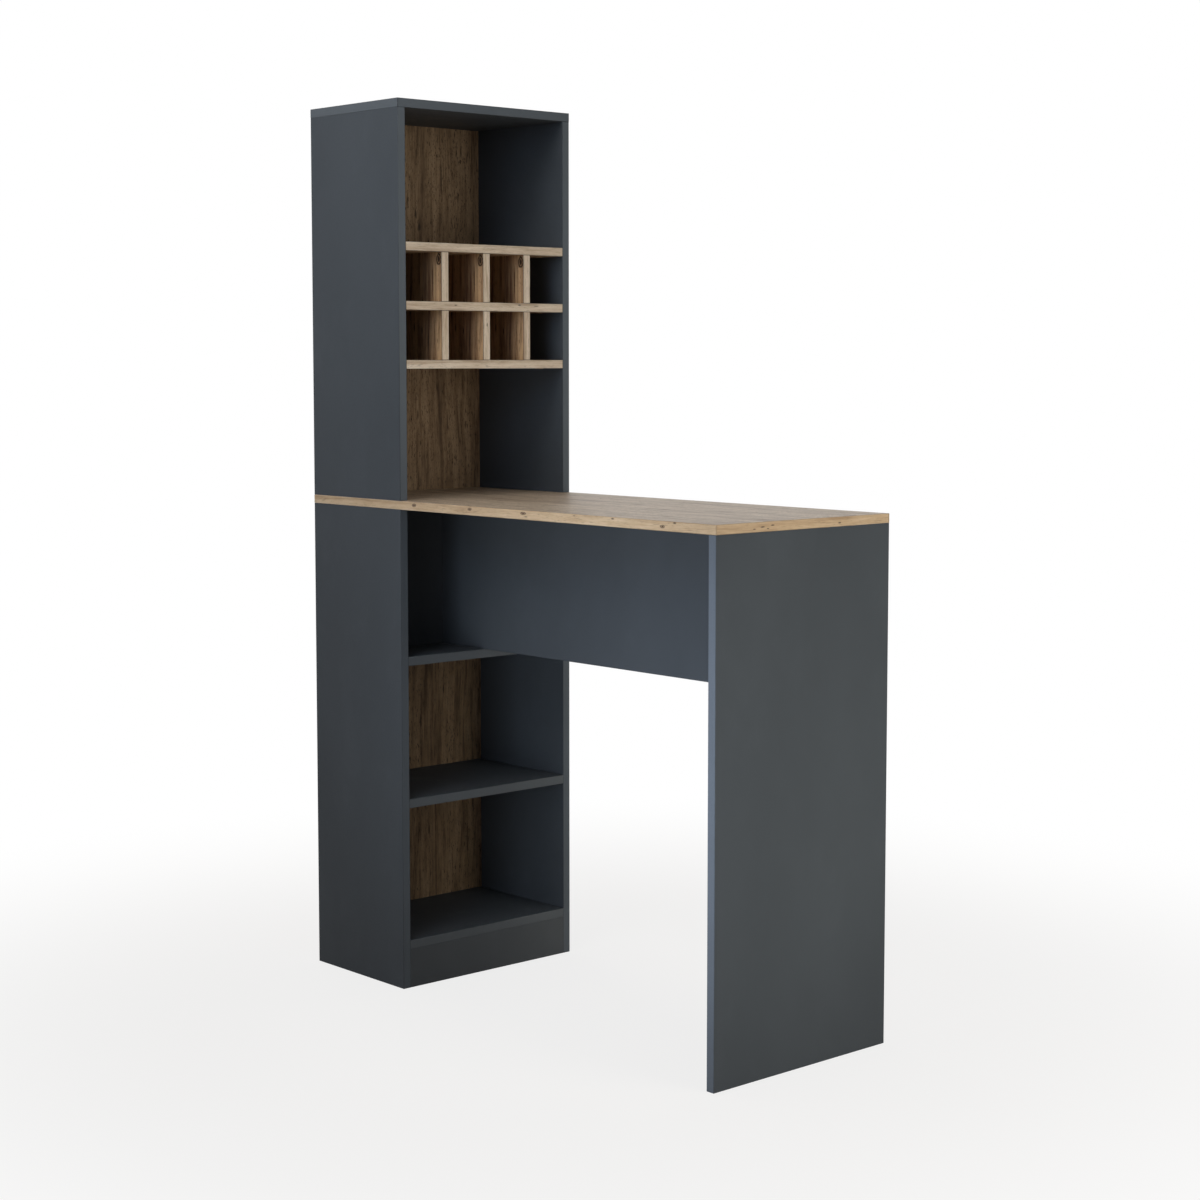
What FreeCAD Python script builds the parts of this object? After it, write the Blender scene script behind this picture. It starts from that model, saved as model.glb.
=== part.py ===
import FreeCAD, Part
import os
import re
import Sketcher
from FreeCAD import Placement, Rotation, Vector

# Bar table with a wine rack tower at one end and a panel leg at the other.
# X runs along the table from the tower to the leg, Y across it, Z up from the floor.
# The origin is on the floor under the middle of the tabletop.

doc = FreeCAD.newDocument("BarTable")
sheet = doc.addObject("Spreadsheet::Sheet", "Sizes")

# Driving dimensions in millimetres
sizes = {
    "table_length": 1200,
    "table_width": 450,
    "bar_height": 1000,
    "tower_height": 1800,
    "tower_depth": 300,
    "board_thickness": 18,
    "tabletop_thickness": 18,
    "back_thickness": 18,
    "apron_height": 300,
    "plinth_height": 80,
    "niche_depth": 141,
    "rack_cell_height": 100,
    "tabletop_band": 2,
    "board_band": 1,
    "shelf_fastener_inset": 50,
    "side_fastener_inset": 50,
    "divider_dowel_inset": 45,
    "leg_bolt_inset": 60,
    "leg_dowel_inset": 120,
    "apron_bolt_inset": 70,
    "cross_bolt_inset": 60,
    "cam_diameter": 15,
    "cam_floor": 4.5,
    "cam_setback": 24,
    "cap_diameter": 17,
    "cap_thickness": 1,
    "cap_chamfer": 0.4,
    "bolt_bore": 8,
    "bolt_diameter": 6,
    "bolt_thread_diameter": 5,
    "bolt_thread_length": 10,
    "through_thread_length": 40,
    "bolt_neck_diameter": 4,
    "bolt_neck_length": 3,
    "bolt_head_diameter": 6.5,
    "bolt_head_length": 4,
    "dowel_diameter": 8,
    "dowel_length": 30,
    "dowel_chamfer": 1,
    "screw_length": 50,
    "screw_head_diameter": 10,
    "screw_head_height": 3,
    "screw_shank_diameter": 7,
    "screw_thread_diameter": 5,
    "screw_socket_radius": 2.3,
    "screw_socket_depth": 2.4,
    "fit_clearance": 0.1,
    "end_gap": 0.5,
    "cut_overrun": 1,
}
for row, (alias, size) in enumerate(sizes.items(), 1):
    sheet.set(f"A{row}", alias)
    sheet.set(f"B{row}", str(size))
    sheet.setAlias(f"B{row}", alias)
doc.recompute()

rack_columns = 4
rack_rows = 2
dowel_seat_share = 0.4  # of the thickness of the board whose face takes the dowel
band_round_share = 0.75  # of the thickness of the edge band
apron_bolt_shares = (0.15, 0.5, 0.85)  # of the apron's length
apron_dowel_shares = (0.32, 0.68)

directions = {
    "+x": Vector(1, 0, 0),
    "-x": Vector(-1, 0, 0),
    "+y": Vector(0, 1, 0),
    "-y": Vector(0, -1, 0),
    "+z": Vector(0, 0, 1),
    "-z": Vector(0, 0, -1),
}


# Expressions name sizes by their alias alone
def bound(text):
    return re.sub(r"[a-z]\w+", r"Sizes.\g<0>", text)


def value(text):
    return float(sheet.evalExpression(bound(text)))


def opposite(direction):
    return ("-" if direction[0] == "+" else "+") + direction[1]


def shifted(point, direction, distance):
    moved = list(point)
    index = "xyz".index(direction[1])
    moved[index] = f"({point[index]} {direction[0]} {distance})"
    return tuple(moved)


# Stations along the three axes
x_rear = "(-table_length / 2)"
x_front = f"({x_rear} + tower_depth)"
x_tower_middle = f"({x_rear} + tower_depth / 2)"
x_back_face = f"({x_rear} + back_thickness)"
x_end = "(table_length / 2)"
x_leg_face = f"({x_end} - board_thickness)"
x_cross_front = f"({x_front} - niche_depth)"
x_cross_rear = f"({x_cross_front} - board_thickness)"
apron_length = f"({x_leg_face} - {x_cross_front})"
shelf_depth = "(tower_depth - back_thickness - board_band)"

y_left = "(-table_width / 2)"
y_right = "(table_width / 2)"
y_left_inner = f"({y_left} + board_thickness)"
y_right_inner = f"({y_right} - board_thickness)"
inner_width = "(table_width - 2 * board_thickness)"
cell_width = f"((table_width - {rack_columns + 1} * board_thickness) / {rack_columns})"
cell_pitch = f"({cell_width} + board_thickness)"
outer_cells = (f"({y_left_inner} + {cell_width} / 2)", f"({y_right_inner} - {cell_width} / 2)")
inner_cells = (f"({outer_cells[0]} + {cell_pitch})", f"({outer_cells[1]} - {cell_pitch})")

z_table_under = "(bar_height - tabletop_thickness)"
z_roof_under = "(tower_height - board_thickness)"
z_niche = f"({z_table_under} - apron_height)"
z_bottom_shelf_top = "(plinth_height + board_thickness)"
lower_bay = f"(({z_niche} - 2 * board_thickness - {z_bottom_shelf_top}) / 2)"
upper_height = f"({z_roof_under} - bar_height)"
rack_pitch = "(rack_cell_height + board_thickness)"
rack_height = f"({rack_rows} * {rack_pitch} + board_thickness)"
z_rack = f"(bar_height + ({upper_height} - {rack_height}) / 2)"
half_board = "(board_thickness / 2)"
half_back = "(back_thickness / 2)"

shelf_levels = {
    "bottom_shelf": "plinth_height",
    "middle_shelf": f"({z_bottom_shelf_top} + {lower_bay})",
    "niche_shelf": f"({z_niche} - board_thickness)",
}
rack_names = ("bottom", "middle", "top")
rack_levels = {
    f"rack_shelf_{name}": f"({z_rack} + {index} * {rack_pitch})" for index, name in enumerate(rack_names)
}
sides = {
    "left": {"corner": y_left, "inner": y_left_inner, "outward": "-y", "inward": "+y"},
    "right": {"corner": y_right_inner, "inner": y_right_inner, "outward": "+y", "inward": "-y"},
}
for side in sides.values():
    side["middle"] = f"({side['corner']} + {half_board})"

boards = {}
exported = {}
holes = {}
seats = {}


def origin_plane(body, role):
    return next(plane for plane in body.Origin.OriginFeatures if plane.Role == role)


def sketch_on(body, name, role, offset="0"):
    sketch = body.newObject("Sketcher::SketchObject", name)
    sketch.AttachmentSupport = [(origin_plane(body, role), "")]
    sketch.MapMode = "FlatFace"
    sketch.setExpression("AttachmentOffset.Base.z", bound(offset))
    return sketch


# Dimension between the sketch origin, or another point, and a point of the sketch
def dimension(sketch, kind, point, text, start=(-1, 1)):
    index = sketch.addConstraint(Sketcher.Constraint(kind, *start, *point, value(text)))
    sketch.setExpression(f"Constraints[{index}]", bound(text))


# Closed outline of straight lines through the given corners, each line along a sketch axis
def square_outline(sketch, corners):
    points = [Vector(value(u), value(v), 0) for u, v in corners]
    lines = []
    for start, end in zip(points, points[1:] + points[:1]):
        lines.append(sketch.addGeometry(Part.LineSegment(start, end)))
    for number, line in enumerate(lines):
        following = lines[(number + 1) % len(lines)]
        sketch.addConstraint(Sketcher.Constraint("Coincident", line, 2, following, 1))
        kind = "Horizontal" if number % 2 == 0 else "Vertical"
        sketch.addConstraint(Sketcher.Constraint(kind, line))
    sketch.addConstraint(Sketcher.Constraint("Coincident", lines[0], 1, -1, 1))
    return lines


def place(item, point):
    for axis, text in zip("xyz", point):
        item.setExpression(f"Placement.Base.{axis}", bound(text))


def padded_rectangle(label, length, width, height):
    body = doc.addObject("PartDesign::Body", label)
    outline = sketch_on(body, f"{label}_outline", "XY_Plane")
    lines = square_outline(outline, [("0", "0"), (length, "0"), (length, width), ("0", width)])
    dimension(outline, "DistanceX", (lines[0], 2), length)
    dimension(outline, "DistanceY", (lines[1], 2), width)
    pad = body.newObject("PartDesign::Pad", f"{label}_pad")
    pad.Profile = outline
    pad.setExpression("Length", bound(height))
    return body


# Board with its lowest corner at the given point
def board(label, corner, size):
    body = padded_rectangle(label, *size)
    body.Label = label
    place(body, corner)
    boards[label] = {"body": body, "corner": corner, "size": size}
    exported[label] = body


def thickness(label, direction):
    return boards[label]["size"]["xyz".index(direction[1])]


# Drilling into a board from a mouth on its surface; drillings of one kind share a sketch
def hole(label, direction, mouth, diameter, depth):
    local = {}
    for axis, place_text, corner_text in zip("xyz", mouth, boards[label]["corner"]):
        local[axis] = f"({place_text} - {corner_text})"
    across = tuple(local[axis] for axis in "xyz" if axis != direction[1])
    key = (label, direction, local[direction[1]], diameter, depth)
    holes.setdefault(key, []).append(across)


def seat(group, master, point, rotation):
    seats.setdefault(group, []).append((master, point, rotation))


def along(direction):
    return Rotation(Vector(0, 0, 1), directions[direction])


def cam(label, point, toward, cam_side, cap_group):
    centre = shifted(point, opposite(toward), "cam_setback")
    mouth = shifted(centre, cam_side, half_board)
    cam_height = "(board_thickness - cam_floor)"
    hole(label, opposite(toward), point, "bolt_bore", "cam_setback")
    hole(label, opposite(cam_side), mouth, "(cam_diameter + 2 * fit_clearance)", cam_height)
    axis = directions[cam_side]
    bolt_way = directions[toward]
    turn = Rotation(bolt_way, axis.cross(bolt_way), axis, "ZXY")
    seat("cam_locks", "cam_lock", shifted(mouth, opposite(cam_side), cam_height), turn)
    if cap_group:
        seat(cap_group, "cam_cap", mouth, turn)


# Cam in the edge of one board, and its bolt in the face of the board that the edge meets
def cam_joint(edge_board, face_board, point, toward, cam_side, cap_group="cam_caps"):
    cam(edge_board, point, toward, cam_side, cap_group)
    bore = "(bolt_thread_diameter + 2 * fit_clearance)"
    hole(face_board, toward, point, bore, "(bolt_thread_length + end_gap)")
    seat("cam_bolts", "cam_bolt", shifted(point, toward, "bolt_thread_length"), along(opposite(toward)))


def dowel_joint(edge_board, face_board, point, toward):
    seat_depth = f"({thickness(face_board, toward)} * {dowel_seat_share})"
    bore = "(dowel_diameter + 2 * fit_clearance)"
    hole(face_board, toward, point, bore, f"({seat_depth} + end_gap)")
    hole(edge_board, opposite(toward), point, bore, f"(dowel_length - {seat_depth} + end_gap)")
    seat("wood_dowels", "wood_dowel", shifted(point, toward, seat_depth), along(opposite(toward)))


# Connector screw through the face of one board into the edge of the board behind it
def screw_joint(group, face_board, edge_board, point, inward):
    wall = thickness(face_board, inward)
    hole(face_board, inward, point, "(screw_head_diameter + 2 * fit_clearance)", "screw_head_height")
    hole(face_board, inward, point, "(screw_shank_diameter + 2 * fit_clearance)", f"({wall} + cut_overrun)")
    pilot = "(screw_thread_diameter + 2 * fit_clearance)"
    hole(edge_board, inward, shifted(point, inward, wall), pilot, f"(screw_length - {wall} + end_gap)")
    seat(group, group.removesuffix("s"), point, along(inward))


# Bolt screwed into the edge of an upper side, through the tabletop to a cam in the lower side
def through_bolt_joint(side_name, x_place):
    side = sides[side_name]
    below = (x_place, side["middle"], z_table_under)
    above = (x_place, side["middle"], "bar_height")
    cam(f"lower_side_{side_name}", below, "+z", side["inward"], "cam_caps")
    bore = "(bolt_diameter + 2 * fit_clearance)"
    hole("tabletop", "+z", below, bore, "(tabletop_thickness + cut_overrun)")
    pilot = "(bolt_thread_diameter + 2 * fit_clearance)"
    hole(f"upper_side_{side_name}", "+z", above, pilot, "(through_thread_length + end_gap)")
    foot = shifted(below, "-z", "(cam_setback + bolt_head_length / 2)")
    seat("through_bolts", "through_bolt", foot, along("+z"))


# Edge band: a strip with two rounded outer edges, glued to the edge of a board
def edge_band(group, corner, size, length_axis, outward):
    number = len(seats.get(group, [])) + 1
    label = f"{group}_{number}"
    outward_axis = outward[1]
    width_axis = next(axis for axis in "xyz" if axis not in (length_axis, outward_axis))
    extent = dict(zip("xyz", size))
    body = padded_rectangle(label, extent[width_axis], extent[outward_axis], extent[length_axis])
    doc.recompute()
    pad = body.Tip
    outer = pad.Shape.BoundBox.YMax
    tolerance = pad.Shape.BoundBox.YLength * band_round_share
    edges = []
    for index, edge in enumerate(pad.Shape.Edges, 1):
        is_long = edge.Vertexes[0].X == edge.Vertexes[1].X
        if is_long and all(outer - vertex.Y < tolerance for vertex in edge.Vertexes):
            edges.append(f"Edge{index}")
    rounding = body.newObject("PartDesign::Fillet", f"{label}_rounding")
    rounding.Base = (pad, edges)
    rounding.setExpression("Radius", bound(f"{extent[outward_axis]} * {band_round_share}"))
    out = directions[outward]
    length_way = directions[f"+{length_axis}"]
    width_way = out.cross(length_way)
    foot = list(corner)
    for index in range(len(foot)):
        if width_way[index] < 0 or out[index] < 0:
            foot[index] = f"({corner[index]} + {size[index]})"
    seat(group, label, tuple(foot), Rotation(width_way, out, length_way, "ZXY"))


# Tabletop
board(
    "tabletop",
    (f"({x_rear} + tabletop_band)", f"({y_left} + tabletop_band)", z_table_under),
    ("(table_length - 2 * tabletop_band)", "(table_width - 2 * tabletop_band)", "tabletop_thickness"),
)

# Leg, apron and cross panel
board(
    "leg_panel",
    (x_leg_face, f"({y_left} + board_band)", "0"),
    ("board_thickness", "(table_width - 2 * board_band)", z_table_under),
)
board(
    "apron_panel",
    (x_cross_front, f"(-{half_board})", f"({z_niche} + board_band)"),
    (apron_length, "board_thickness", "(apron_height - board_band)"),
)
board(
    "cross_panel",
    (x_cross_rear, y_left_inner, z_niche),
    ("board_thickness", inner_width, "apron_height"),
)

# Tower sides, backs, plinth and top panel
for name, side in sides.items():
    x_side = f"({x_rear} + board_band)"
    side_depth = "(tower_depth - 2 * board_band)"
    board(
        f"lower_side_{name}",
        (x_side, side["corner"], "0"),
        (side_depth, "board_thickness", z_table_under),
    )
    board(
        f"upper_side_{name}",
        (x_side, side["corner"], "bar_height"),
        (side_depth, "board_thickness", upper_height),
    )
board("lower_back_panel", (x_rear, y_left_inner, "0"), ("back_thickness", inner_width, z_table_under))
board("upper_back_panel", (x_rear, y_left_inner, "bar_height"), ("back_thickness", inner_width, upper_height))
board(
    "plinth",
    (f"({x_front} - board_thickness)", y_left_inner, "0"),
    ("board_thickness", inner_width, "plinth_height"),
)
board(
    "top_panel",
    (f"({x_rear} + board_band)", f"({y_left} + board_band)", z_roof_under),
    ("(tower_depth - 2 * board_band)", "(table_width - 2 * board_band)", "board_thickness"),
)

# Shelves of the tower and of the rack, and the dividers between the rack shelves
for label, level in {**shelf_levels, **rack_levels}.items():
    board(label, (x_back_face, y_left_inner, level), (shelf_depth, inner_width, "board_thickness"))
dividers = []
for row in range(rack_rows):
    for column in range(1, rack_columns):
        below, above = rack_names[row], rack_names[row + 1]
        divider = {
            "label": f"rack_divider_{'lower' if row == 0 else 'upper'}_{column}",
            "y": f"({y_left_inner} + {column} * {cell_pitch} - board_thickness)",
            "z": f"({rack_levels['rack_shelf_' + below]} + board_thickness)",
            "under": f"rack_shelf_{below}",
            "over": f"rack_shelf_{above}",
        }
        corner = (x_back_face, divider["y"], divider["z"])
        board(divider["label"], corner, (shelf_depth, "board_thickness", "rack_cell_height"))
        dividers.append(divider)

# Shelves to sides: two cam joints and a dowel at each end
x_shelf_joints = (f"({x_back_face} + shelf_fastener_inset)", f"({x_front} - shelf_fastener_inset)")
x_shelf_dowel = f"(({x_back_face} + {x_front}) / 2)"
for label, level in {**shelf_levels, **rack_levels}.items():
    in_rack = label in rack_levels
    z_middle = f"({level} + {half_board})"
    for name, side in sides.items():
        side_board = f"{'upper' if in_rack else 'lower'}_side_{name}"
        caps = "rack_cam_caps" if in_rack else "cam_caps"
        for x_place in x_shelf_joints:
            cam_joint(label, side_board, (x_place, side["inner"], z_middle), side["outward"], "-z", caps)
        dowel_joint(label, side_board, (x_shelf_dowel, side["inner"], z_middle), side["outward"])

# Dividers to rack shelves: two dowels below and two above
for divider in dividers:
    y_middle = f"({divider['y']} + {half_board})"
    for x_place in (f"({x_back_face} + divider_dowel_inset)", f"({x_front} - divider_dowel_inset)"):
        dowel_joint(divider["label"], divider["under"], (x_place, y_middle, divider["z"]), "-z")
        z_upper = f"({divider['z']} + rack_cell_height)"
        dowel_joint(divider["label"], divider["over"], (x_place, y_middle, z_upper), "+z")

# Sides to tabletop and to top panel
x_side_joints = (f"({x_rear} + side_fastener_inset)", f"({x_front} - side_fastener_inset)")
for name, side in sides.items():
    for x_place in x_side_joints:
        through_bolt_joint(name, x_place)
        roof_point = (x_place, side["middle"], "tower_height")
        screw_joint("top_screws", "top_panel", f"upper_side_{name}", roof_point, "-z")
    lower_point = (x_tower_middle, side["middle"], z_table_under)
    upper_point = (x_tower_middle, side["middle"], "bar_height")
    roof_point = (x_tower_middle, side["middle"], z_roof_under)
    dowel_joint(f"lower_side_{name}", "tabletop", lower_point, "+z")
    dowel_joint(f"upper_side_{name}", "tabletop", upper_point, "-z")
    dowel_joint(f"upper_side_{name}", "top_panel", roof_point, "+z")

# Leg to tabletop
x_leg_middle = f"({x_leg_face} + {half_board})"
for y_place in (f"({y_left} + leg_bolt_inset)", f"({y_right} - leg_bolt_inset)"):
    cam_joint("leg_panel", "tabletop", (x_leg_middle, y_place, z_table_under), "+z", "-x")
for y_place in (f"({y_left} + leg_dowel_inset)", f"({y_right} - leg_dowel_inset)"):
    dowel_joint("leg_panel", "tabletop", (x_leg_middle, y_place, z_table_under), "+z")

# Apron to tabletop, leg and cross panel, with its cams on the right-hand face
for share in apron_bolt_shares:
    point = (f"({x_cross_front} + {apron_length} * {share})", "0", z_table_under)
    cam_joint("apron_panel", "tabletop", point, "+z", "+y")
for share in apron_dowel_shares:
    point = (f"({x_cross_front} + {apron_length} * {share})", "0", z_table_under)
    dowel_joint("apron_panel", "tabletop", point, "+z")
z_apron_bolts = (f"({z_niche} + apron_bolt_inset)", f"({z_table_under} - apron_bolt_inset)")
z_apron_middle = f"({z_niche} + apron_height / 2)"
for other, x_place, toward in (("leg_panel", x_leg_face, "+x"), ("cross_panel", x_cross_front, "-x")):
    for z_place in z_apron_bolts:
        cam_joint("apron_panel", other, (x_place, "0", z_place), toward, "+y")
    dowel_joint("apron_panel", other, (x_place, "0", z_apron_middle), toward)

# Cross panel to sides, tabletop and niche shelf
x_cross_middle = f"({x_cross_rear} + {half_board})"
for name, side in sides.items():
    for z_place in (f"({z_niche} + cross_bolt_inset)", f"({z_table_under} - cross_bolt_inset)"):
        point = (x_cross_middle, side["inner"], z_place)
        cam_joint("cross_panel", f"lower_side_{name}", point, side["outward"], "-x", None)
for y_place in outer_cells:
    dowel_joint("cross_panel", "tabletop", (x_cross_middle, y_place, z_table_under), "+z")
    dowel_joint("cross_panel", "niche_shelf", (x_cross_middle, y_place, z_niche), "-z")

# Plinth to sides and bottom shelf
x_plinth_middle = f"({x_front} - {half_board})"
for name, side in sides.items():
    point = (x_plinth_middle, side["inner"], "(plinth_height / 2)")
    cam_joint("plinth", f"lower_side_{name}", point, side["outward"], "-x", None)
for y_place in inner_cells:
    dowel_joint("plinth", "bottom_shelf", (x_plinth_middle, y_place, "plinth_height"), "+z")

# Back panels to shelves, tabletop and top panel
x_back_middle = f"({x_rear} + {half_back})"
for label, level in {**shelf_levels, **rack_levels}.items():
    back = "upper_back_panel" if label in rack_levels else "lower_back_panel"
    for y_place in outer_cells:
        screw_joint("back_screws", back, label, (x_rear, y_place, f"({level} + {half_board})"), "+x")
for y_place in inner_cells:
    dowel_joint("lower_back_panel", "tabletop", (x_back_middle, y_place, z_table_under), "+z")
    dowel_joint("upper_back_panel", "tabletop", (x_back_middle, y_place, "bar_height"), "-z")
    dowel_joint("upper_back_panel", "top_panel", (x_back_middle, y_place, z_roof_under), "+z")

# Sketch plane, offset sign and cutting direction of a pocket, by drilling axis
drill_planes = {"x": ("YZ_Plane", "", "-x"), "y": ("XZ_Plane", "-", "+y"), "z": ("XY_Plane", "", "-z")}
cuts = []
for number, (key, centres) in enumerate(holes.items(), 1):
    label, direction, mouth, diameter, depth = key
    body = boards[label]["body"]
    role, sign, natural = drill_planes[direction[1]]
    sketch = sketch_on(body, f"{label}_drill_{number}", role, f"{sign}{mouth}")
    for u, v in centres:
        centre = Vector(value(u), value(v), 0)
        circle = sketch.addGeometry(Part.Circle(centre, Vector(0, 0, 1), value(diameter) / 2))
        index = sketch.addConstraint(Sketcher.Constraint("Diameter", circle, value(diameter)))
        sketch.setExpression(f"Constraints[{index}]", bound(diameter))
        dimension(sketch, "DistanceX", (circle, 3), u)
        dimension(sketch, "DistanceY", (circle, 3), v)
    base = body.Tip
    pocket = body.newObject("PartDesign::Pocket", f"{label}_holes_{number}")
    pocket.Profile = sketch
    pocket.setExpression("Length", bound(depth))
    pocket.Reversed = direction != natural
    cuts.append((label, base, pocket))

# Edge bands of the tabletop, rear end to leg end, with the long bands over the ends of the short ones
edge_band(
    "tabletop_edge_bands",
    (x_rear, y_left, z_table_under),
    ("table_length", "tabletop_band", "tabletop_thickness"),
    "x",
    "-y",
)
edge_band(
    "tabletop_edge_bands",
    (x_rear, f"({y_right} - tabletop_band)", z_table_under),
    ("table_length", "tabletop_band", "tabletop_thickness"),
    "x",
    "+y",
)
short_table_band = ("tabletop_band", "(table_width - 2 * tabletop_band)", "tabletop_thickness")
y_table_core = f"({y_left} + tabletop_band)"
edge_band("tabletop_edge_bands", (x_rear, y_table_core, z_table_under), short_table_band, "y", "-x")
x_end_band = f"({x_end} - tabletop_band)"
edge_band("tabletop_edge_bands", (x_end_band, y_table_core, z_table_under), short_table_band, "y", "+x")

# Edge bands of the tower: top panel all round, sides front and rear
x_front_band = f"({x_front} - board_band)"
y_right_band = f"({y_right} - board_band)"
roof_side_band = ("tower_depth", "board_band", "board_thickness")
edge_band("tower_edge_bands", (x_rear, y_left, z_roof_under), roof_side_band, "x", "-y")
edge_band("tower_edge_bands", (x_rear, y_right_band, z_roof_under), roof_side_band, "x", "+y")
roof_cross_band = ("board_band", "(table_width - 2 * board_band)", "board_thickness")
y_roof_core = f"({y_left} + board_band)"
edge_band("tower_edge_bands", (x_front_band, y_roof_core, z_roof_under), roof_cross_band, "y", "+x")
edge_band("tower_edge_bands", (x_rear, y_roof_core, z_roof_under), roof_cross_band, "y", "-x")
for side in sides.values():
    for z_place, height in (("0", z_table_under), ("bar_height", upper_height)):
        upright_band = ("board_band", "board_thickness", height)
        edge_band("tower_edge_bands", (x_front_band, side["corner"], z_place), upright_band, "z", "+x")
        edge_band("tower_edge_bands", (x_rear, side["corner"], z_place), upright_band, "z", "-x")

# Edge bands of the shelves, rack, leg and apron
shelf_band = ("board_band", inner_width, "board_thickness")
for level in shelf_levels.values():
    edge_band("shelf_edge_bands", (x_front_band, y_left_inner, level), shelf_band, "y", "+x")
for level in rack_levels.values():
    edge_band("rack_edge_bands", (x_front_band, y_left_inner, level), shelf_band, "y", "+x")
divider_band = ("board_band", "board_thickness", "rack_cell_height")
for divider in dividers:
    edge_band("rack_edge_bands", (x_front_band, divider["y"], divider["z"]), divider_band, "z", "+x")
leg_band = ("board_thickness", "board_band", z_table_under)
edge_band("leg_edge_bands", (x_leg_face, y_left, "0"), leg_band, "z", "-y")
edge_band("leg_edge_bands", (x_leg_face, y_right_band, "0"), leg_band, "z", "+y")
apron_band = (apron_length, "board_thickness", "board_band")
edge_band("apron_edge_band", (x_cross_front, f"(-{half_board})", z_niche), apron_band, "x", "-z")


# Turned piece standing on its own origin: cylinders of the given diameter and length on one axis
def turned(label, steps):
    body = doc.addObject("PartDesign::Body", label)
    profile = sketch_on(body, f"{label}_profile", "XZ_Plane")
    corners = [("0", "0")]
    height = "0"
    for diameter, length in steps:
        corners.append((f"({diameter} / 2)", height))
        height = f"({height} + {length})"
        corners.append((f"({diameter} / 2)", height))
    corners.append(("0", height))
    lines = square_outline(profile, corners)
    for number, (diameter, length) in enumerate(steps):
        flat, wall = lines[2 * number], lines[2 * number + 1]
        dimension(profile, "DistanceX", (flat, 2), f"({diameter} / 2)")
        dimension(profile, "DistanceY", (wall, 2), length, (wall, 1))
    turn = body.newObject("PartDesign::Revolution", f"{label}_turn")
    turn.Profile = profile
    turn.ReferenceAxis = (profile, ["V_Axis"])
    return body


def chamfered(body, size, only_top=False):
    doc.recompute()
    base = body.Tip
    top = base.Shape.BoundBox.ZMax
    edges = []
    for index, edge in enumerate(base.Shape.Edges, 1):
        is_rim = isinstance(edge.Curve, Part.Circle)
        if is_rim and not (only_top and edge.CenterOfMass.z < top / 2):
            edges.append(f"Edge{index}")
    bevel = body.newObject("PartDesign::Chamfer", f"{body.Name}_bevel")
    bevel.Base = (base, edges)
    bevel.setExpression("Size", bound(size))


# Cam: a disc with a passage for the bolt head from its rim to just past its middle
cam_lock = turned("cam_lock", [("cam_diameter", "(board_thickness - cam_floor)")])
passage = sketch_on(cam_lock, "cam_passage", "YZ_Plane", "(cam_diameter / 2)")
passage_diameter = "(bolt_head_diameter + 2 * fit_clearance)"
passage_height = f"({half_board} - cam_floor)"
middle = Vector(0, value(passage_height), 0)
ring = passage.addGeometry(Part.Circle(middle, Vector(0, 0, 1), value(passage_diameter) / 2))
passage.addConstraint(Sketcher.Constraint("PointOnObject", ring, 3, -2))
dimension(passage, "DistanceY", (ring, 3), passage_height)
ring_size = passage.addConstraint(Sketcher.Constraint("Diameter", ring, value(passage_diameter)))
passage.setExpression(f"Constraints[{ring_size}]", bound(passage_diameter))
cam_disc = cam_lock.Tip
cam_cut = cam_lock.newObject("PartDesign::Pocket", "cam_passage_cut")
cam_cut.Profile = passage
cam_cut.setExpression("Length", bound("(cam_diameter + bolt_head_length) / 2 + end_gap"))
cuts.append(("cam_lock", cam_disc, cam_cut))

cam_cap = turned("cam_cap", [("cap_diameter", "cap_thickness")])
chamfered(cam_cap, "cap_chamfer", only_top=True)
wood_dowel = turned("wood_dowel", [("dowel_diameter", "dowel_length")])
chamfered(wood_dowel, "dowel_chamfer")

bolt_shank = "(cam_setback - bolt_neck_length - bolt_head_length / 2)"
bolt_head_steps = [("bolt_neck_diameter", "bolt_neck_length"), ("bolt_head_diameter", "bolt_head_length")]
bolt_steps = [("bolt_thread_diameter", "bolt_thread_length"), ("bolt_diameter", bolt_shank)]
turned("cam_bolt", bolt_steps + bolt_head_steps)
through_steps = [
    ("bolt_diameter", f"({bolt_shank} + tabletop_thickness)"),
    ("bolt_thread_diameter", "through_thread_length"),
]
turned("through_bolt", bolt_head_steps[::-1] + through_steps)

socket_sides = 6
socket_angle = 360 / socket_sides


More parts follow.
